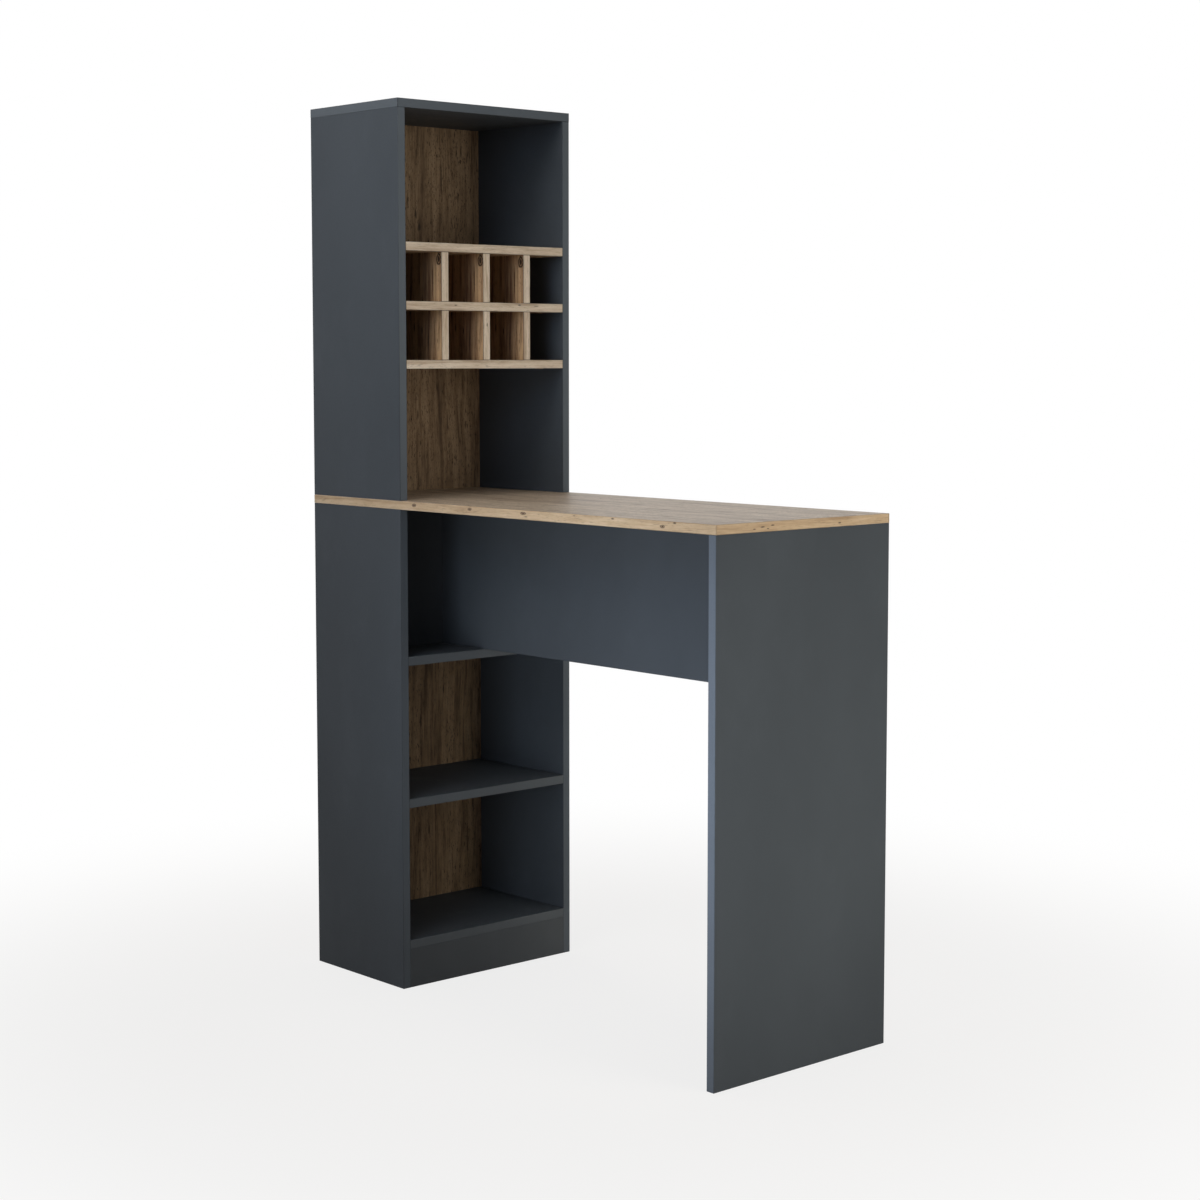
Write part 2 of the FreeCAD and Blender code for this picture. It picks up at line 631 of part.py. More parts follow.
# Connector screw for a wall of the given thickness, with a hexagon socket in its head
def connector_screw(label, wall):
    steps = [
        ("screw_head_diameter", "screw_head_height"),
        ("screw_shank_diameter", f"({wall} - screw_head_height)"),
        ("screw_thread_diameter", f"(screw_length - {wall})"),
    ]
    body = turned(label, steps)
    socket = sketch_on(body, f"{label}_socket", "XY_Plane")
    spokes = [Vector(value("screw_socket_radius"), 0, 0)]
    for number in range(1, socket_sides):
        spokes.append(Rotation(Vector(0, 0, 1), number * socket_angle).multVec(spokes[0]))
    circle = Part.Circle(Vector(0, 0, 0), Vector(0, 0, 1), value("screw_socket_radius"))
    guide = socket.addGeometry(circle, True)
    socket.addConstraint(Sketcher.Constraint("Coincident", guide, 3, -1, 1))
    guide_size = socket.addConstraint(Sketcher.Constraint("Radius", guide, value("screw_socket_radius")))
    socket.setExpression(f"Constraints[{guide_size}]", bound("screw_socket_radius"))
    flats = [socket.addGeometry(Part.LineSegment(a, b)) for a, b in zip(spokes, spokes[1:] + spokes[:1])]
    for number, flat in enumerate(flats):
        following = flats[(number + 1) % socket_sides]
        socket.addConstraint(Sketcher.Constraint("Coincident", flat, 2, following, 1))
        socket.addConstraint(Sketcher.Constraint("PointOnObject", flat, 1, guide))
        if number:
            socket.addConstraint(Sketcher.Constraint("Equal", flats[0], flat))
    socket.addConstraint(Sketcher.Constraint("PointOnObject", flats[0], 1, -1))
    solid = body.Tip
    socket_cut = body.newObject("PartDesign::Pocket", f"{label}_socket_cut")
    socket_cut.Profile = socket
    socket_cut.setExpression("Length", bound("screw_socket_depth"))
    socket_cut.Reversed = True
    cuts.append((label, solid, socket_cut))


connector_screw("back_screw", "back_thickness")
connector_screw("top_screw", "board_thickness")

# Each group of bands or fasteners is one node of separate solids
for group, places in seats.items():
    links = []
    for number, (master, point, rotation) in enumerate(places, 1):
        link = doc.addObject("App::Link", f"{group}_seat_{number}")
        link.LinkedObject = doc.getObject(master)
        link.Placement = Placement(Vector(0, 0, 0), rotation)
        place(link, point)
        links.append(link)
    bundle = doc.addObject("Part::Compound", f"{group}_bundle")
    bundle.Label = group
    bundle.Links = links
    exported[group] = bundle
doc.recompute()

for item in doc.Objects:
    if "Invalid" in item.State or "Error" in item.State:
        raise RuntimeError(f"{item.Label} did not build: {item.State}")
for label, base, cut in cuts:
    if cut.Shape.Volume >= base.Shape.Volume:
        raise RuntimeError(f"{cut.Name} cuts nothing out of {label}")
for label, item in exported.items():
    solid_count = len(seats.get(label, [label]))
    if item.Shape.isNull() or not item.Shape.isValid() or len(item.Shape.Solids) != solid_count:
        raise RuntimeError(f"{label} has no sound shape")

os.makedirs("parts", exist_ok=True)
for label, item in exported.items():
    item.Shape.exportStep(f"parts/{label}.step")
print(len(exported), "nodes,", sum(len(item.Shape.Solids) for item in exported.values()), "solids")
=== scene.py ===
from math import pi, radians

import bmesh
import bpy
from mathutils import Matrix, Vector


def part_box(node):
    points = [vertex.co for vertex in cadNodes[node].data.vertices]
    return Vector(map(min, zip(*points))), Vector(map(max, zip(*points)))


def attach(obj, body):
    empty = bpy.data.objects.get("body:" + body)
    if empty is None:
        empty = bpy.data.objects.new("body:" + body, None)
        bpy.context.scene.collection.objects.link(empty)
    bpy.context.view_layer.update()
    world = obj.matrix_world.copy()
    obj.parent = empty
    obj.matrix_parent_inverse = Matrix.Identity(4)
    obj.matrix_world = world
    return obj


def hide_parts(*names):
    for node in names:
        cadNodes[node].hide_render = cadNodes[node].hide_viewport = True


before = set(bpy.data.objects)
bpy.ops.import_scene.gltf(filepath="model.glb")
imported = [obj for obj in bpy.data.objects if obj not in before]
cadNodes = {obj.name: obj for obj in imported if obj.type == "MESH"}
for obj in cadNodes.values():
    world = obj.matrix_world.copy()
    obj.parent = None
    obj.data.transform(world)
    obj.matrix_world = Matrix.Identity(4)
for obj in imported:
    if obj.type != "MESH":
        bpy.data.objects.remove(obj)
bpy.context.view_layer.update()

scene = bpy.context.scene
mergeGap, endGap = 1e-6, 1e-5  # metres within which points are one, or lie on the same end
print("frame loaded:", len(cadNodes), "nodes")


def addNode(tree, kind, plugs=None, **settings):
    node = tree.nodes.new(kind)
    for name, value in settings.items():
        setattr(node, name, value)
    for socket, value in (plugs or {}).items():
        if isinstance(value, bpy.types.NodeSocket):
            tree.links.new(value, node.inputs[socket])
        else:
            node.inputs[socket].default_value = value
    return node


def calc(tree, operation, a, b=0.0):
    return addNode(tree, "ShaderNodeMath", {0: a, 1: b}, operation=operation).outputs[0]


def vecCalc(tree, operation, a, b=(0.0, 0.0, 0.0), out=0):
    return addNode(tree, "ShaderNodeVectorMath", {0: a, 1: b}, operation=operation).outputs[out]


def ease(tree, value, low, high, start=0.0, end=1.0):  # smooth step, also from high to low
    plugs = {0: value, 1: low, 2: high, 3: start, 4: end}
    return addNode(tree, "ShaderNodeMapRange", plugs, interpolation_type="SMOOTHSTEP").outputs[0]


def swing(tree, layer, weight):  # how far a noise is from its middle
    return calc(tree, "MULTIPLY", calc(tree, "SUBTRACT", layer, 0.5), weight)


def mixColor(tree, factor, a, b, blend="MIX"):
    plugs = {0: factor, 6: a, 7: b}
    return addNode(tree, "ShaderNodeMix", plugs, data_type="RGBA", blend_type=blend).outputs[2]


def stretchNoise(tree, vector, stretch, detail=3.0, roughness=0.55):
    moved = vecCalc(tree, "MULTIPLY", vector, stretch)
    plugs = {"Vector": moved, "Scale": 1.0, "Detail": detail, "Roughness": roughness}
    return addNode(tree, "ShaderNodeTexNoise", plugs).outputs["Fac"]


def splitXyz(tree, vector):
    return addNode(tree, "ShaderNodeSeparateXYZ", {0: vector}).outputs


def joinXyz(tree, x, y, z):
    return addNode(tree, "ShaderNodeCombineXYZ", {0: x, 1: y, 2: z}).outputs[0]


def dimColor(tree, color, keep):
    return vecCalc(tree, "MULTIPLY", color, joinXyz(tree, keep, keep, keep))


def newGroup(name, kind, inputs, outputs):
    tree = bpy.data.node_groups.new(name, kind)
    for label, (socketType, value) in inputs.items():
        socket = tree.interface.new_socket(label, in_out="INPUT", socket_type=socketType)
        if value is not None:
            socket.default_value = value
    for label, socketType in outputs.items():
        tree.interface.new_socket(label, in_out="OUTPUT", socket_type=socketType)
    return tree, addNode(tree, "NodeGroupInput").outputs, addNode(tree, "NodeGroupOutput").inputs


def sendOut(tree, results, sockets):
    for label, value in results.items():
        tree.links.new(value, sockets[label])


woodNoise = {  # waves in a metre along, across and through the board, then detail and roughness
    "sway": ((1.7, 8.0, 8.0), 2.0),
    "broad": ((1.7, 24.0, 9.0), 3.0),
    "lines": ((4.6, 125.0, 40.0), 4.0, 0.62),
    "fibres": ((15.0, 820.0, 300.0), 3.0, 0.6),
    "mottle": ((13.0, 75.0, 30.0), 5.0, 0.68),
    "dashes": ((95.0, 760.0, 300.0), 2.0),
    "flecks": ((42.0, 340.0, 150.0), 3.0, 0.6),
}
woodTuning = {
    "swayWidth": 0.034, "broadWeight": 0.34, "fibreWeight": 0.22,
    "darkToMid": (-0.2, 0.02), "midToLight": (-0.03, 0.19),
    "dashEdge": (0.57, 0.7), "fleckEdge": (0.59, 0.7), "fleckGain": 1.3, "poreZone": (0.36, 0.62, 0.35, 1.0),
    "splitCells": (6.5, 62.0, 16.0), "splitEdge": (0.2, 0.06), "splitChance": (0.7, 0.86),
    "dashShade": 0.4, "splitShade": 0.75, "deepestShade": 0.85,
    "fibreRough": 0.16, "shadeRough": 0.12, "lineHeight": 0.35, "fibreHeight": 0.5,
}


# X of the Grain vector runs along the grain, Y across it and Z through the board, in metres
def makeWoodFigure():
    tree, given, result = newGroup("woodFigure", "ShaderNodeTree", {
        "Grain": ("NodeSocketVector", None),
        "Light": ("NodeSocketColor", (0.5, 0.35, 0.2, 1)),
        "Mid": ("NodeSocketColor", (0.36, 0.24, 0.14, 1)),
        "Dark": ("NodeSocketColor", (0.17, 0.1, 0.055, 1)),
        "Figure": ("NodeSocketFloat", 1.0),
        "Stripe": ("NodeSocketFloat", 0.3),
        "Mottle": ("NodeSocketFloat", 0.3),
        "Pores": ("NodeSocketFloat", 1.0),
        "Cracks": ("NodeSocketFloat", 1.0),
        "Gloss": ("NodeSocketFloat", 0.55),
    }, {"Color": "NodeSocketColor", "Roughness": "NodeSocketFloat", "Height": "NodeSocketFloat"})
    along, across, through = splitXyz(tree, given["Grain"])
    sway = swing(tree, stretchNoise(tree, given["Grain"], *woodNoise["sway"]), woodTuning["swayWidth"])
    bent = joinXyz(tree, along, calc(tree, "ADD", across, sway), through)
    broad, lines, fibres, mottle, dashes, flecks = [
        stretchNoise(tree, bent, *woodNoise[layer])
        for layer in ("broad", "lines", "fibres", "mottle", "dashes", "flecks")]
    tone = 0.0
    for layer, weight in ((broad, woodTuning["broadWeight"]), (lines, given["Stripe"]),
                          (mottle, given["Mottle"]), (fibres, woodTuning["fibreWeight"])):
        tone = calc(tree, "ADD", swing(tree, layer, weight), tone)
    tone = calc(tree, "MULTIPLY", tone, given["Figure"])
    color = mixColor(tree, ease(tree, tone, *woodTuning["darkToMid"]), given["Dark"], given["Mid"])
    color = mixColor(tree, ease(tree, tone, *woodTuning["midToLight"]), color, given["Light"])
    dashes = ease(tree, dashes, *woodTuning["dashEdge"])
    flecks = ease(tree, flecks, *woodTuning["fleckEdge"])
    dashes = calc(tree, "MAXIMUM", dashes, calc(tree, "MULTIPLY", flecks, woodTuning["fleckGain"]))
    dashes = calc(tree, "MULTIPLY", dashes, ease(tree, broad, *woodTuning["poreZone"]))
    dashes = calc(tree, "MULTIPLY", dashes, given["Pores"])
    cells = vecCalc(tree, "MULTIPLY", bent, woodTuning["splitCells"])
    cell = addNode(tree, "ShaderNodeTexVoronoi", {"Vector": cells, "Scale": 1.0}).outputs
    chance = addNode(tree, "ShaderNodeSeparateColor", {0: cell["Color"]}).outputs[0]
    splits = calc(tree, "MULTIPLY", ease(tree, cell["Distance"], *woodTuning["splitEdge"]),
                  ease(tree, chance, *woodTuning["splitChance"]))
    splits = calc(tree, "MULTIPLY", splits, given["Cracks"])
    shade = calc(tree, "ADD", calc(tree, "MULTIPLY", dashes, woodTuning["dashShade"]),
                 calc(tree, "MULTIPLY", splits, woodTuning["splitShade"]))
    keep = calc(tree, "SUBTRACT", 1.0, calc(tree, "MINIMUM", shade, woodTuning["deepestShade"]))
    rough = calc(tree, "ADD", given["Gloss"], swing(tree, fibres, woodTuning["fibreRough"]))
    rough = calc(tree, "ADD", rough, calc(tree, "MULTIPLY", shade, woodTuning["shadeRough"]))
    high = calc(tree, "ADD", calc(tree, "MULTIPLY", lines, woodTuning["lineHeight"]),
                calc(tree, "MULTIPLY", fibres, woodTuning["fibreHeight"]))
    high = calc(tree, "SUBTRACT", high, shade)
    sendOut(tree, {"Color": dimColor(tree, color, keep), "Roughness": rough, "Height": high}, result)
    return tree


markTuning = {
    "ragged": ((90.0, 420.0, 1.0), 3.0), "raggedDepth": 0.7, "ringRadius": 0.82,
    "crackEdge": (1.0, 0.35), "ringEdge": (0.3, 0.05), "coreEdge": (0.62, 0.3),
}


# one dark crack or one ringed knot at a place of the decor
def makeGrainMark():
    tree, given, result = newGroup("grainMark", "ShaderNodeTree", {
        "Grain": ("NodeSocketVector", None),
        "Centre": ("NodeSocketVector", (0, 0, 0)),
        "Length": ("NodeSocketFloat", 0.02),
        "Width": ("NodeSocketFloat", 0.004),
    }, {"Crack": "NodeSocketFloat", "Ring": "NodeSocketFloat", "Core": "NodeSocketFloat"})
    away = vecCalc(tree, "SUBTRACT", given["Grain"], given["Centre"])
    away = vecCalc(tree, "DIVIDE", away, joinXyz(tree, given["Length"], given["Width"], 1.0))
    reach = vecCalc(tree, "LENGTH", vecCalc(tree, "MULTIPLY", away, (1.0, 1.0, 0.0)), out=1)
    ragged = stretchNoise(tree, given["Grain"], *markTuning["ragged"])
    reach = calc(tree, "ADD", reach, swing(tree, ragged, markTuning["raggedDepth"]))
    ring = calc(tree, "ABSOLUTE", calc(tree, "SUBTRACT", reach, markTuning["ringRadius"]))
    sendOut(tree, {
        "Crack": ease(tree, reach, *markTuning["crackEdge"]),
        "Ring": ease(tree, ring, *markTuning["ringEdge"]),
        "Core": ease(tree, reach, *markTuning["coreEdge"])}, result)
    return tree


skinNoise = {  # waves in a metre on each axis, then detail and roughness
    "pearl": ((1100.0, 1100.0, 1100.0), 2.0, 0.6),
    "swell": ((260.0, 260.0, 260.0), 2.0),
    "clouds": ((3.2, 3.2, 2.1), 4.0, 0.6),
    "wiped": ((9.0, 9.0, 5.0), 5.0, 0.65),
}
skinTuning = {
    "cloudTint": (0.25, 0.75, 0.92, 1.07), "pearlTint": (0.3, 0.7, -0.06, 0.06),
    "wipeEdge": (0.5, 0.72), "wipeTint": 0.05, "wipeRough": -0.07, "swellRough": 0.12,
    "pearlHeight": 0.6, "swellHeight": 0.4,
}


# the fine pearl structure of a melamine face, with faint handling marks
def makeBoardSkin():
    tree, given, result = newGroup("boardSkin", "ShaderNodeTree", {
        "Place": ("NodeSocketVector", None),
        "Color": ("NodeSocketColor", (0.05, 0.056, 0.066, 1)),
        "Gloss": ("NodeSocketFloat", 0.5),
        "Smudge": ("NodeSocketFloat", 1.0),
    }, {"Color": "NodeSocketColor", "Roughness": "NodeSocketFloat", "Height": "NodeSocketFloat"})
    pearl, swell, clouds, wiped = [
        stretchNoise(tree, given["Place"], *skinNoise[layer])
        for layer in ("pearl", "swell", "clouds", "wiped")]
    wiped = calc(tree, "MULTIPLY", ease(tree, wiped, *skinTuning["wipeEdge"]), given["Smudge"])
    tint = calc(tree, "ADD", ease(tree, clouds, *skinTuning["cloudTint"]),
                ease(tree, pearl, *skinTuning["pearlTint"]))
    tint = calc(tree, "ADD", tint, calc(tree, "MULTIPLY", wiped, skinTuning["wipeTint"]))
    color = dimColor(tree, given["Color"], tint)
    rough = calc(tree, "ADD", given["Gloss"], swing(tree, swell, skinTuning["swellRough"]))
    rough = calc(tree, "ADD", rough, calc(tree, "MULTIPLY", wiped, skinTuning["wipeRough"]))
    high = calc(tree, "ADD", calc(tree, "MULTIPLY", pearl, skinTuning["pearlHeight"]),
                calc(tree, "MULTIPLY", swell, skinTuning["swellHeight"]))
    sendOut(tree, {"Color": color, "Roughness": rough, "Height": high}, result)
    return tree


glueTuning = {"halfWidth": 0.009, "fadeOut": 0.0012, "fullDark": 0.0002}  # the last two from the rim


# the fine dark joint round an edge band; Ends holds the way to both ends and the place across
def makeGlueLine():
    tree, given, result = newGroup("glueLine", "ShaderNodeTree", {
        "Ends": ("NodeSocketVector", None),
        "Color": ("NodeSocketColor", (0.5, 0.4, 0.3, 1)),
        "Half Width": ("NodeSocketFloat", glueTuning["halfWidth"]),
        "Line": ("NodeSocketFloat", glueTuning["fadeOut"]),
        "Strength": ("NodeSocketFloat", 0.5),
    }, {"Color": "NodeSocketColor"})
    first, last, across = splitXyz(tree, given["Ends"])
    rim = calc(tree, "SUBTRACT", given["Half Width"], calc(tree, "ABSOLUTE", across))
    rim = calc(tree, "MINIMUM", calc(tree, "MINIMUM", first, last), rim)
    line = ease(tree, rim, given["Line"], glueTuning["fullDark"])
    keep = calc(tree, "SUBTRACT", 1.0, calc(tree, "MULTIPLY", line, given["Strength"]))
    sendOut(tree, {"Color": dimColor(tree, given["Color"], keep)}, result)
    return tree


woodFigure, grainMark = makeWoodFigure(), makeGrainMark()
boardSkin, glueLine = makeBoardSkin(), makeGlueLine()
print("shader groups:", [group.name for group in bpy.data.node_groups])


def newMaterial(name, specular):
    material = bpy.data.materials.new(name)
    material.use_nodes = True
    tree = material.node_tree
    shader = tree.nodes["Principled BSDF"]
    shader.inputs["Specular IOR Level"].default_value = specular
    return material, tree, shader


def finishSurface(tree, shader, color, rough, high, depth):
    tree.links.new(color, shader.inputs["Base Color"])
    tree.links.new(rough, shader.inputs["Roughness"])
    bump = addNode(tree, "ShaderNodeBump", {"Strength": 1.0, "Distance": depth, "Height": high})
    tree.links.new(bump.outputs[0], shader.inputs["Normal"])


def jointedColor(tree, color, strength):
    ends = addNode(tree, "ShaderNodeAttribute", attribute_name="ends").outputs["Vector"]
    plugs = {"Ends": ends, "Color": color, "Strength": strength}
    return addNode(tree, "ShaderNodeGroup", plugs, node_tree=glueLine).outputs["Color"]


def axisTurn(along, across):  # turns the board's own axes so that X follows the grain
    axes = {"x": Vector((1, 0, 0)), "y": Vector((0, 1, 0)), "z": Vector((0, 0, 1))}
    first, second = axes[along], axes[across]
    return Matrix((first, second, first.cross(second))).to_euler()


def paint(rgb):
    return (*rgb, 1.0)


markLayers = {  # mask, strength and paint of each layer of a mark
    "knot": (("Crack", 0.55, "knot"), ("Ring", 0.9, "split"), ("Core", 0.92, "split")),
    "crack": (("Crack", 0.85, "split"),),
}
markDips = {"knot": "Ring", "crack": "Crack"}  # the mask that sinks into the surface
borderNoise = ((14.0, 60.0, 1.0), 3.0)


def woodMaterial(name, look):
    material, tree, shader = newMaterial(name, look["specular"])
    if "turn" in look:
        place = addNode(tree, "ShaderNodeTexCoord").outputs["Object"]
        grain = addNode(tree, "ShaderNodeMapping", {
            "Vector": place, "Rotation": axisTurn(*look["turn"]), "Scale": look.get("keep", (1, 1, 1)),
            "Location": look.get("shift", (0, 0, 0))}).outputs[0]
    else:
        grain = addNode(tree, "ShaderNodeAttribute", attribute_name="grain").outputs["Vector"]
    stretched = vecCalc(tree, "MULTIPLY", grain, look["zoom"])
    figure = addNode(tree, "ShaderNodeGroup", {"Grain": stretched}, node_tree=woodFigure)
    for label in ("light", "mid", "dark"):
        figure.inputs[label.title()].default_value = paint(look[label])
    for label in ("figure", "stripe", "mottle", "pores", "cracks", "gloss"):
        figure.inputs[label.title()].default_value = look[label]
    color, high = figure.outputs["Color"], figure.outputs["Height"]
    for kind, spot, length, width in look.get("marks", ()):
        plugs = {"Grain": grain, "Centre": (*spot, 0.0), "Length": length, "Width": width}
        mark = addNode(tree, "ShaderNodeGroup", plugs, node_tree=grainMark).outputs
        for mask, strength, tone in markLayers[kind]:
            share = calc(tree, "MULTIPLY", mark[mask], strength)
            color = mixColor(tree, share, color, paint(look[tone]))
        high = calc(tree, "SUBTRACT", high, mark[markDips[kind]])
    if "paintedShadeBorder" in look:  # painted light and shade: a paler strip along the front and a painted darker shade behind it, with a wandering border
        border, soft = look["paintedShadeBorder"]
        across = splitXyz(tree, grain)[1]
        wander = calc(tree, "MULTIPLY", stretchNoise(tree, grain, *borderNoise), 2.0 * soft)
        litFront = ease(tree, calc(tree, "ADD", across, wander), border, border + 2.0 * soft)
        shadedBehind = mixColor(tree, 1.0, color, paint(look["paintedShadeTint"]), "MULTIPLY")
        color = mixColor(tree, litFront, shadedBehind, color)
    if "joint" in look:
        color = jointedColor(tree, color, look["joint"])
    finishSurface(tree, shader, color, figure.outputs["Roughness"], high, look["relief"])
    return material


def skinMaterial(name, look):
    material, tree, shader = newMaterial(name, look["specular"])
    place = addNode(tree, "ShaderNodeTexCoord").outputs["Object"]
    skin = addNode(tree, "ShaderNodeGroup", {
        "Place": place, "Color": paint(look["color"]), "Gloss": look["gloss"], "Smudge": look["smudge"]},
        node_tree=boardSkin)
    shader.inputs["Metallic"].default_value = look.get("metallic", 0.0)
    color = skin.outputs["Color"]
    if "joint" in look:
        color = jointedColor(tree, color, look["joint"])
    finishSurface(tree, shader, color, skin.outputs["Roughness"], skin.outputs["Height"], look["relief"])
    return material


# marks are rows of kind, place along and across the grain, half length and half width
boardDecor = {
    "light": (0.50, 0.345, 0.21), "mid": (0.37, 0.245, 0.145), "dark": (0.17, 0.1, 0.055),
    "split": (0.022, 0.014, 0.009), "knot": (0.22, 0.11, 0.055),
    "figure": 1.5, "stripe": 0.3, "mottle": 0.3, "pores": 1.0, "cracks": 1.0,
    "gloss": 0.58, "specular": 0.25, "relief": 0.00025, "zoom": (1.0, 1.0, 1.0),
}
# painted shade: the back panels carry the same pine decor, painted darker than on the other boards
shadedBackDecor = {
    **boardDecor, "turn": ("z", "y"), "zoom": (1.5, 1.15, 1.0),
    "light": (0.315, 0.213, 0.127), "mid": (0.213, 0.138, 0.078), "dark": (0.079, 0.047, 0.026),
    "figure": 1.7, "stripe": 0.34, "mottle": 0.2, "pores": 2.4, "cracks": 0.9, "specular": 0.12,
    "marks": (
        ("crack", (1.676, 0.1027), 0.050, 0.0022), ("crack", (1.595, 0.0335), 0.014, 0.003),
        ("crack", (1.567, 0.042), 0.012, 0.006), ("crack", (1.145, 0.116), 0.030, 0.0022),
        ("crack", (1.139, 0.1667), 0.012, 0.0022), ("crack", (1.164, 0.0356), 0.016, 0.0026),
        ("crack", (0.558, 0.1013), 0.014, 0.0024), ("crack", (0.495, 0.0374), 0.018, 0.0024),
        ("crack", (0.249, 0.0592), 0.016, 0.0024)),
}
dividerDecor = {  # keep drops the side axis, so all dividers have the same figure
    **boardDecor, "turn": ("z", "x"), "keep": (1, 0, 1), "zoom": (0.8, 0.55, 1.0),
    "light": (0.595, 0.38, 0.195), "mid": (0.468, 0.277, 0.143), "dark": (0.215, 0.115, 0.063),
    "figure": 2.0, "stripe": 0.7, "mottle": 0.2, "pores": 1.3, "cracks": 0.4, "specular": 0.15,
    # painted light and shade: the dividers are painted paler along the front and darkened behind, where the
    # cells lie in shade
    "paintedShadeBorder": (-0.336, 0.007), "paintedShadeTint": (0.72, 0.71, 0.72),
    "marks": (
        ("knot", (1.4855, -0.309), 0.0125, 0.0085), ("crack", (1.445, -0.329), 0.042, 0.0022),
        ("crack", (1.335, -0.324), 0.046, 0.0016), ("crack", (1.32, -0.345), 0.03, 0.002),
        ("crack", (1.349, -0.392), 0.012, 0.003), ("crack", (1.342, -0.366), 0.010, 0.0024)),
}
rackShelfDecor = {**boardDecor, "turn": ("y", "x"), "keep": (1, 1, 0.4)}
tableDecor = {
    **boardDecor, "turn": ("x", "y"), "shift": (0.35, 0.21, 0.0),
    "light": (0.475, 0.37, 0.267), "mid": (0.352, 0.262, 0.179), "dark": (0.175, 0.115, 0.07),
    "figure": 2.0, "stripe": 0.5, "pores": 2.2, "cracks": 1.5, "gloss": 0.44, "specular": 0.55,
}
rackBandDecor = {
    **boardDecor, "split": (0.07, 0.055, 0.045),
    "light": (0.65, 0.535, 0.41), "mid": (0.555, 0.435, 0.312), "dark": (0.36, 0.255, 0.17),
    "figure": 1.8, "pores": 0.8, "cracks": 0.5, "gloss": 0.5, "joint": 0.8,
    "marks": (
        ("crack", (1.496, 0.002), 0.005, 0.0017), ("crack", (1.665, 0.0045), 0.006, 0.002),
        ("crack", (1.71, 0.003), 0.009, 0.0012), ("crack", (6.922, -0.001), 0.005, 0.002)),
}
tableBandDecor = {
    **boardDecor, "knot": (0.34, 0.16, 0.07), "split": (0.05, 0.03, 0.02),
    "light": (0.635, 0.472, 0.306), "mid": (0.525, 0.368, 0.221), "dark": (0.355, 0.222, 0.119),
    "pores": 0.6, "cracks": 0.7, "gloss": 0.5, "joint": 0.25,
    "marks": (
        ("knot", (0.345, 0.002), 0.007, 0.0034), ("knot", (0.523, 0.003), 0.006, 0.0028),
        ("knot", (0.684, 0.003), 0.0085, 0.003), ("crack", (0.692, -0.003), 0.007, 0.0012),
        ("crack", (0.83, 0.006), 0.004, 0.0014), ("crack", (0.935, 0.006), 0.006, 0.002),
        ("knot", (1.066, -0.001), 0.006, 0.003), ("crack", (1.097, 0.0065), 0.006, 0.0024),
        ("crack", (1.462, -0.003), 0.005, 0.0014), ("crack", (1.483, 0.0), 0.007, 0.0018),
        ("crack", (1.496, -0.0035), 0.004, 0.0014), ("crack", (1.508, 0.002), 0.006, 0.0018),
        ("crack", (1.682, -0.002), 0.005, 0.0018)),
}
beech = {
    **boardDecor, "turn": ("x", "y"), "figure": 0.8, "cracks": 0.0,
    "light": (0.62, 0.44, 0.28), "mid": (0.52, 0.35, 0.21), "dark": (0.36, 0.22, 0.12),
}
anthracite = {
    "color": (0.062, 0.069, 0.077), "gloss": 0.5, "smudge": 1.0, "specular": 0.06, "relief": 0.00012,
}
anthraciteEdge = {
    **anthracite, "color": (0.098, 0.109, 0.119), "gloss": 0.42, "smudge": 0.4, "relief": 0.00006,
    "joint": 0.45,
}
# painted bounce light: the plinth's anthracite is painted lighter and warmer than the other boards
plinthLitSkin = {**anthracite, "color": (0.077, 0.081, 0.084)}
shelfEdge = {**anthraciteEdge, "color": (0.1, 0.107, 0.111), "joint": 0.1}
# painted reflection: the leg's edge bands are painted lighter and bluer than the other anthracite bands
legEdgeSheen = {**anthraciteEdge, "color": (0.125, 0.142, 0.165), "joint": 0.4}
capLook = {"color": (0.046, 0.052, 0.06), "gloss": 0.4, "smudge": 0.3, "specular": 0.4, "relief": 0.00005}
woodCapLook = {**capLook, "color": (0.36, 0.25, 0.16), "gloss": 0.42, "specular": 0.35}
zincCast = {
    "color": (0.55, 0.55, 0.54), "gloss": 0.45, "smudge": 1.0, "specular": 0.5, "relief": 0.0002,
    "metallic": 1.0,
}
zincPlate = {**zincCast, "color": (0.62, 0.62, 0.60), "gloss": 0.3, "relief": 0.00005}

skinLooks = {
    "anthraciteBoard": anthracite, "anthraciteEdge": anthraciteEdge, "plinthLitSkin": plinthLitSkin,
    "shelfEdge": shelfEdge, "legEdgeSheen": legEdgeSheen, "anthraciteCap": capLook, "woodCap": woodCapLook,
    "zincCast": zincCast, "zincPlate": zincPlate,
}
woodLooks = {
    "shadedBackDecor": shadedBackDecor, "dividerDecor": dividerDecor, "rackShelfDecor": rackShelfDecor,
    "tableDecor": tableDecor, "rackBandDecor": rackBandDecor, "tableBandDecor": tableBandDecor,
    "beech": beech,
}
finishes = {name: skinMaterial(name, look) for name, look in skinLooks.items()}
finishes.update({name: woodMaterial(name, look) for name, look in woodLooks.items()})

rackShelves = ["rack_shelf_bottom", "rack_shelf_middle", "rack_shelf_top"]
dividers = [name for name in cadNodes if name.startswith("rack_divider")]
towerPanels = ["lower_side_left", "lower_side_right", "upper_side_left", "upper_side_right", "top_panel"]
plainShelves = ["bottom_shelf", "middle_shelf", "niche_shelf"]
nodeFinish = {
    "anthraciteBoard": [*towerPanels, *plainShelves, "leg_panel", "apron_panel", "cross_panel"],
    "plinthLitSkin": ["plinth"],
    "shadedBackDecor": ["lower_back_panel", "upper_back_panel"],
    "dividerDecor": dividers,
    "rackShelfDecor": rackShelves,
    "tableDecor": ["tabletop"],
    "zincCast": ["cam_locks"],
    "zincPlate": ["cam_bolts", "through_bolts"],
    "beech": ["wood_dowels"],
}
for finish, names in nodeFinish.items():
    for name in names:
        mesh = cadNodes[name].data
        mesh.materials.clear()
        mesh.materials.append(finishes[finish])
print("CAD nodes finished:", sum(map(len, nodeFinish.values())))


